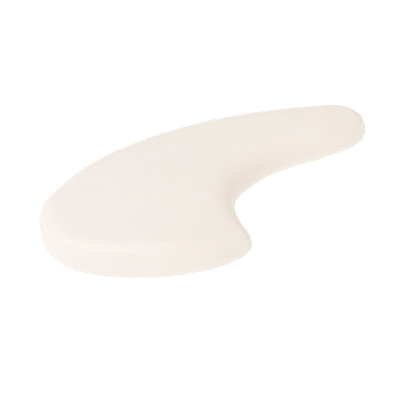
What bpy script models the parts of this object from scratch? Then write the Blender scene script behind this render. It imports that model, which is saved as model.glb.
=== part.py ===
"""A silicone toe separator: one soft moulding that lies on its flat sole.

The thick body goes between two toes. The notch seats the web of skin between them, the lobe closes the notch
on one side, and the arm lies along the foot on the other side and keeps the separator from turning.

Metres, +Z up. +X runs from the nose of the body to the tip of the arm, and +Y from the front flank to the
back edge. The origin is at the middle of the moulding's plan, on the plane of the sole.
"""

import math
from collections import namedtuple

import bmesh
import bpy
import numpy as np
from mathutils import Vector

MM = 0.001

# Body: the thick part between the toes.
BODY_LENGTH = 35.6 * MM  # nose to the bottom of the notch
BODY_DEPTH = 38.9 * MM  # front flank to the back edge, beside the notch
BODY_THICKNESS = 7.1 * MM  # sole to the top near the body's edge
CROWN_RISE = 1.5 * MM  # how much the top swells in the middle of the body

# Notch and lobe.
NOTCH_RADIUS = 7.4 * MM
NOTCH_SETBACK = 16.4 * MM  # front flank to the notch's centre
LOBE_RADIUS = 2.8 * MM
LOBE_FLANK = 1.6 * MM  # straight stretch from the notch's round to the lobe's round
LOBE_BEARING = math.radians(235.0)  # of the lobe's centre, seen from the notch's centre
LOBE_DROP = 1.4 * MM  # how much lower the top is over the lobe
LOBE_DROP_SPREAD = 8.0 * MM

# Arm. Its root is level with the notch's centre.
ARM_LENGTH = 24.8 * MM  # root to tip
ARM_WIDTH = 11.6 * MM  # at the middle of its length
ARM_SETOUT = 3.8 * MM  # from the notch's round to the side of the arm, at the root
ARM_ANGLE = math.radians(20.0)  # how far it leans from +X towards +Y
ARM_THICKNESS = 7.4 * MM  # at the root
TIP_THICKNESS = 6.0 * MM
ARM_THINNING = 1.5  # 1 thins evenly towards the tip, more keeps the thickness for longer

# Rounding of the edges.
SHOULDER_REACH = 3.2 * MM  # how far in from the edge the top's rounding goes
SOLE_REACH = 2.8 * MM  # and the sole's
WIDEST_AT = 0.45  # height of the widest line, as a share of the thickness there

# Facets.
BODY_STEPS = 20  # along the body's back, and along its front
NOTCH_STEPS = 24  # along the back beside the notch, and round the notch and lobe
ARM_STEPS = 16  # along each side of the arm
END_STEPS = 14  # round the nose, and round the tip
SHOULDER_STEPS = 9
SOLE_STEPS = 5
CURVE_STEPS = 24  # between two rows of the outline, before it is cut into even steps
RIB_ROUNDS = 24  # rounds of evening out the ribs of the rim
NET_ROUNDS = 300  # rounds of evening out the net of the top

SILICONE_COLOUR = (0.91, 0.85, 0.77, 1.0)
SILICONE_ROUGHNESS = 0.42
SILICONE_TRANSLUCENCY = 0.3

LONG_STEPS = BODY_STEPS + NOTCH_STEPS + ARM_STEPS
NOTCH_CENTRE = Vector((0.0, 0.0))  # the plan is drawn round it
LOBE_DISTANCE = NOTCH_RADIUS + LOBE_FLANK + LOBE_RADIUS  # from the notch's centre
LOBE_CENTRE = Vector((math.cos(LOBE_BEARING), math.sin(LOBE_BEARING))) * LOBE_DISTANCE
ARM_DIRECTION = Vector((math.cos(ARM_ANGLE), math.sin(ARM_ANGLE)))
ARM_LEFT = Vector((-ARM_DIRECTION.y, ARM_DIRECTION.x))
ARM_ROOT = ARM_LEFT * (NOTCH_RADIUS + ARM_SETOUT + ARM_WIDTH / 2)

# One row for each place where the outline is set. A body row's along is a share of BODY_LENGTH from the
# notch's bottom to the nose, and its across a share of BODY_DEPTH from the front flank. An arm row's along is
# a share of ARM_LENGTH from the root, and its across a share of ARM_WIDTH from the arm's middle line. An arc
# row's angle is in degrees from +X, about the centre of its arc. Reach is a share of SHOULDER_REACH and of
# SOLE_REACH. Square is the power of the rounding: 2 is an ellipse, and more is squarer.
BodyRow = namedtuple("BodyRow", "along across reach square")
ArmRow = namedtuple("ArmRow", "along across reach square")
ArcRow = namedtuple("ArcRow", "angle reach square")

BACK_OF_BODY = (
    BodyRow(along=0.965, across=0.430, reach=1.1, square=2.3),
    BodyRow(along=0.800, across=0.627, reach=1.2, square=2.2),
    BodyRow(along=0.600, across=0.783, reach=1.3, square=2.1),
    BodyRow(along=0.394, across=0.900, reach=1.4, square=2.1),
)
BACK_BESIDE_NOTCH = (
    BodyRow(along=0.184, across=0.992, reach=1.5, square=2.0),
    BodyRow(along=-0.028, across=1.055, reach=1.6, square=2.0),
)
BACK_OF_ARM = (
    ArmRow(along=0.49, across=0.605, reach=1.35, square=2.0),
    ArmRow(along=0.73, across=0.515, reach=1.2, square=2.0),
    ArmRow(along=0.88, across=0.410, reach=1.1, square=2.0),
)
TIP = (
    ArmRow(along=0.965, across=0.225, reach=1.0, square=2.0),
    ArmRow(along=1.000, across=-0.010, reach=0.95, square=2.0),
    ArmRow(along=0.950, across=-0.265, reach=1.0, square=2.0),
)
FRONT_OF_ARM = (
    ArmRow(along=0.84, across=-0.400, reach=1.1, square=2.0),
    ArmRow(along=0.56, across=-0.515, reach=1.3, square=2.0),
    ArmRow(along=0.28, across=-0.570, reach=1.5, square=2.0),
    ArmRow(along=0.07, across=-0.675, reach=1.7, square=2.0),
)
NOTCH = (
    ArcRow(angle=138.0, reach=1.8, square=2.0),
    ArcRow(angle=162.0, reach=1.7, square=2.0),
    ArcRow(angle=186.0, reach=1.5, square=2.0),
)
BACK_OF_LOBE = (
    BodyRow(along=-0.028, across=0.315, reach=1.15, square=2.0),
)
LOBE = (
    ArcRow(angle=36.0, reach=0.85, square=2.0),
    ArcRow(angle=8.0, reach=0.85, square=2.0),
    ArcRow(angle=-8.0, reach=0.85, square=2.0),
)
FRONT_OF_BODY = (
    BodyRow(along=-0.026, across=0.108, reach=0.85, square=2.0),
    BodyRow(along=0.085, across=0.050, reach=0.9, square=2.2),
    BodyRow(along=0.284, across=0.012, reach=0.85, square=2.5),
    BodyRow(along=0.480, across=0.000, reach=0.75, square=2.6),
    BodyRow(along=0.682, across=0.015, reach=0.75, square=2.6),
    BodyRow(along=0.865, across=0.070, reach=0.8, square=2.5),
)
NOSE = (
    BodyRow(along=0.970, across=0.190, reach=0.9, square=2.4),
    BodyRow(along=1.002, across=0.334, reach=1.0, square=2.3),
)

# The swell of the body's top: where its middle is, and how far it spreads, both as shares like a body row's.
Crown = namedtuple("Crown", "along across length depth")
CROWN = Crown(along=0.45, across=0.45, length=0.50, depth=0.38)

# Where the top slopes from the body's thickness down to the arm's, as shares of ARM_LENGTH from the root.
SLOPE_START = -0.45
SLOPE_END = 0.30


def clear_scene():
    for obj in list(bpy.data.objects):
        bpy.data.objects.remove(obj, do_unlink=True)


def body_point(row):
    """A body row's place. The notch's bottom is one notch radius from the notch's centre."""
    return Vector((-NOTCH_RADIUS - BODY_LENGTH * row.along, BODY_DEPTH * row.across - NOTCH_SETBACK))


def arm_point(row):
    return ARM_ROOT + ARM_DIRECTION * (ARM_LENGTH * row.along) + ARM_LEFT * (ARM_WIDTH * row.across)


def arc_point(centre, radius, row):
    angle = math.radians(row.angle)
    return centre + Vector((math.cos(angle), math.sin(angle))) * radius


def notch_point(row):
    return arc_point(NOTCH_CENTRE, NOTCH_RADIUS, row)


def lobe_point(row):
    return arc_point(LOBE_CENTRE, LOBE_RADIUS, row)


def outline_stretches():
    """The outline clockwise, in stretches: the steps each is cut into, and its stations."""

    def stations(place, rows):
        return [(*place(row), row.reach, row.square) for row in rows]

    lobe = stations(body_point, BACK_OF_LOBE) + stations(lobe_point, LOBE)
    return (
        (BODY_STEPS, stations(body_point, BACK_OF_BODY)),
        (NOTCH_STEPS, stations(body_point, BACK_BESIDE_NOTCH)),
        (ARM_STEPS, stations(arm_point, BACK_OF_ARM)),
        (END_STEPS, stations(arm_point, TIP)),
        (ARM_STEPS, stations(arm_point, FRONT_OF_ARM)),
        (NOTCH_STEPS, stations(notch_point, NOTCH) + lobe),
        (BODY_STEPS, stations(body_point, FRONT_OF_BODY)),
        (END_STEPS, stations(body_point, NOSE)),
    )


def smooth_loop(stations):
    """A closed smooth curve through the stations, as rows of x, y, reach and square."""
    knots = np.array(stations)
    count = len(knots)
    rows = []
    for i in range(count):
        before, start, end, after = (knots[(i + k) % count] for k in (-1, 0, 1, 2))
        gap = np.linalg.norm(end[:2] - start[:2])
        leave = gap * (end - before) / (gap + np.linalg.norm(start[:2] - before[:2]))
        arrive = gap * (after - start) / (gap + np.linalg.norm(after[:2] - end[:2]))
        for t in np.arange(CURVE_STEPS) / CURVE_STEPS:
            rows.append(
                (2 * t**3 - 3 * t**2 + 1) * start
                + (t**3 - 2 * t**2 + t) * leave
                + (3 * t**2 - 2 * t**3) * end
                + (t**3 - t**2) * arrive
            )
    return np.array(rows)


def even_steps(rows, steps):
    """The stretch of curve that rows follow, cut into steps of one length. Its last point is left out."""
    lengths = np.linalg.norm(np.diff(rows[:, :2], axis=0), axis=1)
    walked = np.concatenate([[0.0], np.cumsum(lengths)])
    wanted = walked[-1] * np.arange(steps) / steps
    return np.column_stack([np.interp(wanted, walked, column) for column in rows.T])


def outline():
    """The outline in even steps within each stretch: points, ribs that point inward from them, and square.

    A rib's length is the reach there, as a share. Ribs are evened with their neighbours, so that none cross
    where the outline turns tightly round the lobe.
    """
    stretches = outline_stretches()
    curve = smooth_loop([station for _, stations in stretches for station in stations])
    closed = np.vstack([curve, curve[:1]])
    loop = []
    start = 0
    for steps, stations in stretches:
        end = start + CURVE_STEPS * len(stations)
        loop.append(even_steps(closed[start : end + 1], steps))
        start = end
    loop = np.vstack(loop)
    points = loop[:, :2]
    along = np.roll(points, -1, axis=0) - np.roll(points, 1, axis=0)
    inward = np.column_stack([along[:, 1], -along[:, 0]])
    ribs = loop[:, 2:3] * inward / np.linalg.norm(inward, axis=1)[:, None]
    for _ in range(RIB_ROUNDS):
        ribs = (np.roll(ribs, 1, axis=0) + 2 * ribs + np.roll(ribs, -1, axis=0)) / 4
    return points, ribs, loop[:, 3:]


def top_height(points):
    """Height of the top over plan points, before its shoulders fall away."""
    along_arm = (points - np.array(ARM_ROOT)) @ np.array(ARM_DIRECTION) / ARM_LENGTH
    slope = np.clip((along_arm - SLOPE_START) / (SLOPE_END - SLOPE_START), 0.0, 1.0)
    slope = slope**2 * (3 - 2 * slope)
    thinned = np.clip(along_arm, 0.0, 1.0) ** ARM_THINNING
    arm_height = ARM_THICKNESS + (TIP_THICKNESS - ARM_THICKNESS) * thinned
    spread = np.array([BODY_LENGTH * CROWN.length, BODY_DEPTH * CROWN.depth])
    off_middle = (points - np.array(body_point(CROWN))) / spread
    swell = CROWN_RISE * np.exp(-(off_middle**2).sum(axis=1))
    off_lobe = (points - np.array(LOBE_CENTRE)) / LOBE_DROP_SPREAD
    drop = LOBE_DROP * np.exp(-(off_lobe**2).sum(axis=1))
    return BODY_THICKNESS + (arm_height - BODY_THICKNESS) * slope + swell - drop


def quarter(steps, square):
    """A rounded quarter for each rib, as (inset, rise) shares from the widest line, (0, 0), to (1, 1)."""
    for angle in np.linspace(0.0, math.pi / 2, steps + 1):
        yield 1 - max(math.cos(angle), 0.0) ** (2 / square), math.sin(angle) ** (2 / square)


def rim_rings(points, ribs, square):
    """Rings of points round the outline: from the sole's rim, over the widest line, to the top's edge."""
    rings = []
    widest = WIDEST_AT * top_height(points)[:, None]
    for inset, rise in quarter(SOLE_STEPS, square):
        rings.insert(0, np.hstack([points + ribs * SOLE_REACH * inset, widest * (1 - rise)]))
    for inset, rise in quarter(SHOULDER_STEPS, square):
        plan = points + ribs * SHOULDER_REACH * inset
        rings.append(np.hstack([plan, widest + (top_height(plan)[:, None] - widest) * rise]))
    return rings[:SOLE_STEPS] + rings[SOLE_STEPS + 1 :]


def four_sides(ring):
    """The ring's back, tip, front and nose, each with both its ends."""
    around = list(ring) + [ring[0]]
    ends = (0, LONG_STEPS, LONG_STEPS + END_STEPS, 2 * LONG_STEPS + END_STEPS, len(ring))
    return [around[a : b + 1] for a, b in zip(ends[:-1], ends[1:])]


def evened(net):
    """The net's inner knots, moved between their neighbours so that the net has no fold at the notch."""
    along = (net[2:, 1:-1] - net[:-2, 1:-1]) / 2
    across = (net[1:-1, 2:] - net[1:-1, :-2]) / 2
    twist = (net[2:, 2:] - net[:-2, 2:] - net[2:, :-2] + net[:-2, :-2]) / 4
    pull_along = (across**2).sum(axis=2, keepdims=True)
    pull_across = (along**2).sum(axis=2, keepdims=True)
    shear = (along * across).sum(axis=2, keepdims=True)
    pulled = pull_along * (net[2:, 1:-1] + net[:-2, 1:-1])
    pulled += pull_across * (net[1:-1, 2:] + net[1:-1, :-2])
    return (pulled - 2 * shear * twist) / (2 * (pull_along + pull_across))


def top_net(ring):
    """A net over the top inside the last ring, with its long sides along the body and the arm."""
    back, tip, front, nose = four_sides(ring[:, :2])
    share = np.linspace(0.0, 1.0, END_STEPS + 1)[None, :, None]
    net = np.array(back)[:, None] * (1 - share) + np.array(front[::-1])[:, None] * share
    net[0] = nose[::-1]
    net[-1] = tip
    for _ in range(NET_ROUNDS):
        net[1:-1, 1:-1] = evened(net)
    heights = top_height(net.reshape(-1, 2)).reshape(net.shape[:2])
    return np.dstack([net, heights])


def add_band(bm, low, high):
    """Faces between two rings of as many vertices."""
    for i in range(len(low)):
        bm.faces.new((low[i - 1], high[i - 1], high[i], low[i]))


def add_top(bm, ring, net, middle):
    """The faces of the top: its border is the last ring's own vertices."""
    back, tip, front, nose = four_sides(ring)
    grid = [[bm.verts.new(knot - middle) for knot in row] for row in net[1:-1, 1:-1]]
    grid = [nose[-2:0:-1]] + grid + [tip[1:-1]]
    grid = [[start] + row + [end] for start, row, end in zip(back, grid, reversed(front))]
    for near, far in zip(grid[:-1], grid[1:]):
        for j in range(END_STEPS):
            bm.faces.new((near[j], near[j + 1], far[j + 1], far[j]))


def separator_mesh():
    """The whole moulding as one closed mesh: the sole, the rings of the rim and the net of the top."""
    points, ribs, square = outline()
    middle = np.append((points.min(axis=0) + points.max(axis=0)) / 2, 0.0)
    rings = rim_rings(points, ribs, square)
    bm = bmesh.new()
    loops = [[bm.verts.new(point - middle) for point in ring] for ring in rings]
    bm.faces.new(loops[0])
    for low, high in zip(loops[:-1], loops[1:]):
        add_band(bm, low, high)
    add_top(bm, loops[-1], top_net(rings[-1]), middle)
    bmesh.ops.recalc_face_normals(bm, faces=bm.faces)
    mesh = bpy.data.meshes.new("toe_separator")
    bm.to_mesh(mesh)
    bm.free()
    return mesh


def silicone():
    material = bpy.data.materials.new("silicone")
    material.use_nodes = True
    shader = material.node_tree.nodes["Principled BSDF"]
    shader.inputs["Base Color"].default_value = SILICONE_COLOUR
    shader.inputs["Roughness"].default_value = SILICONE_ROUGHNESS
    shader.inputs["Metallic"].default_value = 0.0
    shader.inputs["Subsurface Weight"].default_value = SILICONE_TRANSLUCENCY
    return material


def build():
    clear_scene()
    collection = bpy.data.collections.new("silicone_toe_separator")
    bpy.context.scene.collection.children.link(collection)
    mesh = separator_mesh()
    mesh.shade_smooth()
    mesh.materials.append(silicone())
    collection.objects.link(bpy.data.objects.new("toe_separator", mesh))


build()
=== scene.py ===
"""The silicone toe separator as it is photographed: soft ivory gel on a white table, in a light tent.

The moulding replaces its CAD node. It is a fine copy of the node's shape, evened, with softer rounds over the
lobe and beside the notch, a slow unevenness, and the marks of the trimmed flash under the lobe.
"""

import math

import bmesh
import bpy
import numpy as np
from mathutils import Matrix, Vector, noise


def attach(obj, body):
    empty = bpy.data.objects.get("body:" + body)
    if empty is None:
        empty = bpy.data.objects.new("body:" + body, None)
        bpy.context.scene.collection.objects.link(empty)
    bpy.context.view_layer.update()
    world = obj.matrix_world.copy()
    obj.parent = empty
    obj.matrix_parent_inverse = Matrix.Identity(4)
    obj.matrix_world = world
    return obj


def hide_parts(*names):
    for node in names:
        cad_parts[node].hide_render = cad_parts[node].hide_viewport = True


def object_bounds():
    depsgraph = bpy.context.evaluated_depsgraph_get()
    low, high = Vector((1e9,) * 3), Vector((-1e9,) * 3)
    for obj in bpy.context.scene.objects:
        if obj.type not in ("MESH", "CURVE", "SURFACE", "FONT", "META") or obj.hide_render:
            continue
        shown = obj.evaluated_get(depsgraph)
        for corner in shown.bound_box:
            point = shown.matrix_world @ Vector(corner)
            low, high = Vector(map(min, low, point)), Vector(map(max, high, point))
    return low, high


MM = 0.001

# Fineness of the moulding, and how often it is evened. A step back after each step keeps its size.
VOXEL = 0.36 * MM
EVEN_ROUNDS = 10
EVEN_STEP = 0.5
EVEN_STEP_BACK = -0.52
SOFT_ROUNDS = 60

# How softly the rounds flow over the lobe and beside the notch, and everywhere else. The lobe's part begins
# gradually from the left along X, and ends gradually towards the back along Y.
LOBE_SOFTNESS = 0.8
OTHER_SOFTNESS = 0.08
LOBE_BEGINS = (-7.0 * MM, 3.0 * MM)
LOBE_ENDS = (-6.0 * MM, 4.0 * MM)

# The mould's surface isn't perfectly even, but the sole is flat.
SWELL_HEIGHT = 0.05 * MM
SWELL_LENGTH = 9.0 * MM
SWELL_BEGINS = (0.3 * MM, 2.0 * MM)

# Where the casting's flash was trimmed, low on the front flank: a straight cut between a corner under the
# lobe and a stub, and a nick above the corner. A mark has its place, its push outward and its radius.
TRIM_CORNER = Vector((5.6, -19.1)) * MM
TRIM_STUB = Vector((-1.9, -21.8)) * MM
TRIM_TOP = 3.6 * MM
TRIM_DEPTH = 1.0 * MM
MARKS = (
    (TRIM_CORNER, 0.26 * MM, 0.8 * MM),
    (TRIM_STUB, 0.16 * MM, 0.6 * MM),
    (Vector((6.5, -17.9)) * MM, -0.16 * MM, 0.6 * MM),
)

# Camera. The view's middle is given on the part, and the photograph frames it a little off centre.
VIEW_ELEVATION = math.radians(42.0)
VIEW_DISTANCE = 367.0 * MM
VIEW_MIDDLE = Vector((-0.895, -2.6, 4.5)) * MM
VIEW_SHIFT = Vector((-0.005, -0.023))
LENS = 180.0
SENSOR = 36.0

# Silicone. The tint runs along X, whiter at the nose, yellower towards the arm: partly the gel's own tone,
# partly painted warmer shade on the dimmer right side. The darker, yellower zone round the notch is painted
# shade.
NOSE_COLOUR = (0.875, 0.833, 0.802, 1.0)
ARM_TONE_AND_SHADE = (0.897, 0.838, 0.776, 1.0)
# Painted shade in and beside the notch: its colour, its centre and how far it reaches.
NOTCH_SHADE_COLOUR = (0.880, 0.810, 0.730, 1.0)
TINT_ACROSS = (-30.0 * MM, 22.0 * MM)
NOTCH_SHADE_CENTRE = Vector((12.7, -5.8, 5.0)) * MM
NOTCH_SHADE_REACH = (7.0 * MM, 14.0 * MM)
BLOTCH_COLOUR = (0.875, 0.815, 0.765, 1.0)
BLOTCH_LENGTH = 7.0 * MM
SPECKLE_COLOUR = (0.965, 0.955, 0.945, 1.0)
SPECKLE_LENGTH = 0.45 * MM
SKIN_DEPTH = 0.02 * MM
SKIN_STRENGTH = 0.35
GEL_ROUGHNESS = (0.20, 0.26)
GEL_GLOSS = 0.4
GEL_IOR = 1.41
GEL_SCATTER = 0.5
GEL_RADIUS = (1.0, 0.7, 0.5)
GEL_DEPTH = 1.5 * MM

# Light. The tent is bright overhead, on the left and in front, and dimmer and warmer low on the right. A long
# narrow lamp in front and to the left draws the streak on the front shoulder. Angles are in degrees.
TENT_STRENGTH = 0.825
TENT_AZIMUTH = -60.0
TENT_ELEVATION = 45.0
TENT_FADE = (-1.0, 0.35)
TENT_NEAR_COLOUR = (1.0, 1.0, 1.0, 1.0)
TENT_FAR_COLOUR = (0.62, 0.56, 0.46, 1.0)
STRIP_PLACE = Vector((-135.0, -190.0, 260.0)) * MM
STRIP_SIZE = (0.42, 0.018)
STRIP_POWER = 0.23
ABOVE_PLACE = Vector((-10.0, 40.0, 300.0)) * MM
ABOVE_SIZE = (0.16, 0.16)
ABOVE_POWER = 0.09
TABLE_COLOUR = (0.3, 0.3, 0.3, 1.0)
TABLE_GLOW = 0.76

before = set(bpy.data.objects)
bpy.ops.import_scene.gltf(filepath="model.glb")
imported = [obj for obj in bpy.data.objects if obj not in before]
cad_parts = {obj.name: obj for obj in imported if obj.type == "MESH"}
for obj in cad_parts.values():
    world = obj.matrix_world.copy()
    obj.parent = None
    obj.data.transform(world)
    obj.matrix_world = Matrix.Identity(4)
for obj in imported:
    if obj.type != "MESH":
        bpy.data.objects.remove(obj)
cad_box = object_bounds()


def add_camera():
    data = bpy.data.cameras.new("camera")
    data.lens = LENS
    data.sensor_width = SENSOR
    data.shift_x, data.shift_y = VIEW_SHIFT
    data.clip_start = 0.01
    camera = bpy.data.objects.new("camera", data)
    bpy.context.scene.collection.objects.link(camera)
    forward = Vector((0.0, math.cos(VIEW_ELEVATION), -math.sin(VIEW_ELEVATION)))
    camera.location = VIEW_MIDDLE - forward * VIEW_DISTANCE
    camera.rotation_euler = forward.to_track_quat("-Z", "Y").to_euler()
    bpy.context.scene.camera = camera


def applied(obj, kind, **settings):
    """Adds a modifier to the object and applies it at once."""
    modifier = obj.modifiers.new(kind.lower(), kind)
    for name, value in settings.items():
        setattr(modifier, name, value)
    graph = bpy.context.evaluated_depsgraph_get()
    mesh = bpy.data.meshes.new_from_object(obj.evaluated_get(graph))
    old = obj.data
    obj.modifiers.clear()
    obj.data = mesh
    bpy.data.meshes.remove(old)


def moulding():
    """A fine even copy of the CAD node."""
    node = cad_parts["toe_separator"]
    obj = bpy.data.objects.new("separator", node.data.copy())
    bpy.context.scene.collection.objects.link(obj)
    applied(obj, "REMESH", mode="VOXEL", voxel_size=VOXEL, adaptivity=0.0)
    return obj


def links(mesh):
    """Each vertex's neighbours as two index arrays, and how many it has."""
    ends = np.empty(len(mesh.edges) * 2, int)
    mesh.edges.foreach_get("vertices", ends)
    ends = ends.reshape(-1, 2)
    return ends, np.bincount(ends.ravel(), minlength=len(mesh.vertices))


def evened(places, ends, counts, strength):
    """Places moved towards the middle of their neighbours, by a strength from 0 to 1 each."""
    total = np.zeros_like(places)
    np.add.at(total, ends[:, 0], places[ends[:, 1]])
    np.add.at(total, ends[:, 1], places[ends[:, 0]])
    return places + (total / counts[:, None] - places) * strength[:, None]


def ramp(values, start, end):
    """0 before start, 1 after end, and a smooth rise between them."""
    share = np.clip((values - start) / (end - start), 0.0, 1.0)
    return share * share * (3 - 2 * share)


def softness_at(places):
    x, y = places[:, 0], places[:, 1]
    at_lobe = ramp(x, *LOBE_BEGINS) * (1 - ramp(y, *LOBE_ENDS))
    return OTHER_SOFTNESS + (LOBE_SOFTNESS - OTHER_SOFTNESS) * at_lobe


def fitted(places):
    """Places stretched a little, so that evening them hasn't made the moulding smaller than its CAD box."""
    low, high = (np.array(corner) for corner in cad_box)
    now_low, now_high = places.min(axis=0), places.max(axis=0)
    return low + (places - now_low) * (high - low) / (now_high - now_low)


def trimmed(places):
    """The low front flank cut straight from the corner to the stub, with the marks that the trimming left."""
    cut = np.array(TRIM_STUB - TRIM_CORNER)
    out = np.array([-cut[1], cut[0]]) / np.linalg.norm(cut)
    low = 1 - ramp(places[:, 2], 0.6 * TRIM_TOP, TRIM_TOP)
    along = (places[:, :2] - np.array(TRIM_CORNER)) @ cut / (cut @ cut)
    beyond = (places[:, :2] - np.array(TRIM_CORNER)) @ out
    within = ramp(along, 0.0, 0.1) * (1 - ramp(along, 0.9, 1.0)) * low
    push = -np.clip(beyond, 0.0, TRIM_DEPTH) * within
    for place, height, size in MARKS:
        gap = np.linalg.norm(places[:, :2] - np.array(place), axis=1)
        push = push + height * np.exp(-((gap / size) ** 2)) * low
    places[:, :2] += push[:, None] * out
    return places


def swelled(places, normals):
    """A slow unevenness of the surface, kept off the sole."""
    heights = np.array([noise.noise(Vector(place) / SWELL_LENGTH) for place in places])
    heights *= ramp(places[:, 2], *SWELL_BEGINS)
    return places + normals * (heights * SWELL_HEIGHT)[:, None]


def read_places(mesh):
    places = np.empty(len(mesh.vertices) * 3)
    mesh.vertices.foreach_get("co", places)
    return places.reshape(-1, 3)


def write_places(mesh, places):
    mesh.vertices.foreach_set("co", places.ravel())
    mesh.update()


def shape(obj):
    mesh = obj.data
    places = read_places(mesh)
    ends, counts = links(mesh)
    everywhere = np.ones(len(places))
    for _ in range(EVEN_ROUNDS):
        places = evened(places, ends, counts, EVEN_STEP * everywhere)
        places = evened(places, ends, counts, EVEN_STEP_BACK * everywhere)
    softness = softness_at(places)
    for _ in range(SOFT_ROUNDS):
        places = evened(places, ends, counts, softness)
    places = trimmed(fitted(places))
    write_places(mesh, places)
    normals = np.array([vertex.normal for vertex in mesh.vertices])
    write_places(mesh, swelled(places, normals))


def fill(tree, node, inputs):
    """The node's inputs, by name: a socket is linked from, and any other value is set."""
    for name, value in inputs.items():
        if isinstance(value, bpy.types.NodeSocket):
            tree.links.new(value, node.inputs[name])
        else:
            node.inputs[name].default_value = value


def add_node(tree, kind, inputs, **settings):
    node = tree.nodes.new(kind)
    for name, value in settings.items():
        setattr(node, name, value)
    fill(tree, node, inputs)
    return node


def grain(tree, where, length, detail):
    """Noise from 0 to 1 whose spots are about this long."""
    inputs = {"Vector": where, "Scale": 1.0 / length, "Detail": detail, "Roughness": 0.55}
    return add_node(tree, "ShaderNodeTexNoise", inputs, noise_dimensions="3D").outputs["Fac"]


def ranged(tree, value, low, high, to_low, to_high):
    """The value brought smoothly from the range low to high into the range to_low to to_high."""
    inputs = {"Value": value, "From Min": low, "From Max": high, "To Min": to_low, "To Max": to_high}
    return add_node(tree, "ShaderNodeMapRange", inputs, interpolation_type="SMOOTHSTEP").outputs["Result"]


def mixed(tree, factor, first, second, blend="MIX"):
    inputs = {"Factor": factor, "A": first, "B": second}
    return add_node(tree, "ShaderNodeMix", inputs, data_type="RGBA", blend_type=blend).outputs["Result"]


def silicone():
    """Ivory gel: whiter at the nose, yellower towards the arm, partly its own tone and partly painted warm
    shade;
    darker and yellower round the notch, which is painted shade; faintly blotched, with a fine grain.
    """
    material = bpy.data.materials.new("silicone")
    material.use_nodes = True
    tree = material.node_tree
    where = add_node(tree, "ShaderNodeTexCoord", {}).outputs["Object"]
    parts = add_node(tree, "ShaderNodeSeparateXYZ", {"Vector": where})
    across = ranged(tree, parts.outputs["X"], *TINT_ACROSS, 0.0, 1.0)
    blotches = grain(tree, where, BLOTCH_LENGTH, 2.0)
    # Whiter at the nose, yellower towards the arm: partly the gel's tone, partly painted warmer shade of the
    # right side.
    base = mixed(tree, across, NOSE_COLOUR, ARM_TONE_AND_SHADE)
    # Painted shade: the colour turns darker and yellower round the notch, where shade falls.
    gap = add_node(tree, "ShaderNodeVectorMath", {}, operation="DISTANCE")
    tree.links.new(where, gap.inputs[0])
    gap.inputs[1].default_value = NOTCH_SHADE_CENTRE
    base = mixed(tree, ranged(tree, gap.outputs["Value"], *NOTCH_SHADE_REACH, 1.0, 0.0), base, NOTCH_SHADE_COLOUR)
    base = mixed(tree, ranged(tree, blotches, 0.35, 0.65, 0.0, 0.35), base, BLOTCH_COLOUR)
    speckle = grain(tree, where, SPECKLE_LENGTH, 3.0)
    base = mixed(tree, ranged(tree, speckle, 0.3, 0.7, 0.0, 0.5), base, SPECKLE_COLOUR, "MULTIPLY")
    inputs = {"Height": speckle, "Strength": SKIN_STRENGTH, "Distance": SKIN_DEPTH}
    skin = add_node(tree, "ShaderNodeBump", inputs)
    inputs = {
        "Base Color": base,
        "Roughness": ranged(tree, blotches, 0.3, 0.7, *GEL_ROUGHNESS),
        "IOR": GEL_IOR,
        "Specular IOR Level": GEL_GLOSS,
        "Subsurface Weight": GEL_SCATTER,
        "Subsurface Radius": GEL_RADIUS,
        "Subsurface Scale": GEL_DEPTH,
        "Normal": skin.outputs["Normal"],
    }
    fill(tree, tree.nodes["Principled BSDF"], inputs)
    return material


def direction(azimuth, elevation):
    """A unit vector. Azimuth is in degrees from the camera's side, -Y, towards +X."""
    azimuth, elevation = math.radians(azimuth), math.radians(elevation)
    level = math.cos(elevation)
    return Vector((math.sin(azimuth) * level, -math.cos(azimuth) * level, math.sin(elevation)))


def add_lamp(name, place, size, power):
    """A rectangular soft lamp that looks at the moulding."""
    data = bpy.data.lights.new(name, "AREA")
    data.shape = "RECTANGLE"
    data.size, data.size_y = size
    data.energy = power
    lamp = bpy.data.objects.new(name, data)
    bpy.context.scene.collection.objects.link(lamp)
    lamp.location = place
    lamp.rotation_euler = (-place).to_track_quat("-Z", "Y").to_euler()


def add_light():
    world = bpy.data.worlds.new("tent")
    world.use_nodes = True
    tree = world.node_tree
    sky = add_node(tree, "ShaderNodeTexCoord", {}).outputs["Generated"]
    facing = add_node(tree, "ShaderNodeVectorMath", {}, operation="DOT_PRODUCT")
    facing.inputs[1].default_value = direction(TENT_AZIMUTH, TENT_ELEVATION)
    tree.links.new(sky, facing.inputs[0])
    near = ranged(tree, facing.outputs["Value"], *TENT_FADE, 0.0, 1.0)
    colour = mixed(tree, near, TENT_FAR_COLOUR, TENT_NEAR_COLOUR)
    fill(tree, tree.nodes["Background"], {"Color": colour, "Strength": TENT_STRENGTH})
    bpy.context.scene.world = world
    bpy.context.scene.view_settings.view_transform = "Standard"
    add_lamp("strip", STRIP_PLACE, STRIP_SIZE, STRIP_POWER)
    add_lamp("above", ABOVE_PLACE, ABOVE_SIZE, ABOVE_POWER)


def add_floor():
    mesh = bpy.data.meshes.new("table")
    bm = bmesh.new()
    bmesh.ops.create_grid(bm, x_segments=1, y_segments=1, size=1.0)
    bm.to_mesh(mesh)
    bm.free()
    floor = bpy.data.objects.new("table", mesh)
    bpy.context.scene.collection.objects.link(floor)
    material = bpy.data.materials.new("white_table")
    material.use_nodes = True
    tree = material.node_tree
    inputs = {
        "Base Color": TABLE_COLOUR,
        "Roughness": 0.9,
        "Emission Color": (1.0, 1.0, 1.0, 1.0),
        "Emission Strength": TABLE_GLOW,
    }
    fill(tree, tree.nodes["Principled BSDF"], inputs)
    mesh.materials.append(material)


add_camera()
separator = moulding()
shape(separator)
separator.data.shade_smooth()
separator.data.materials.clear()
separator.data.materials.append(silicone())
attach(separator, "root")
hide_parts("toe_separator")
add_floor()
add_light()
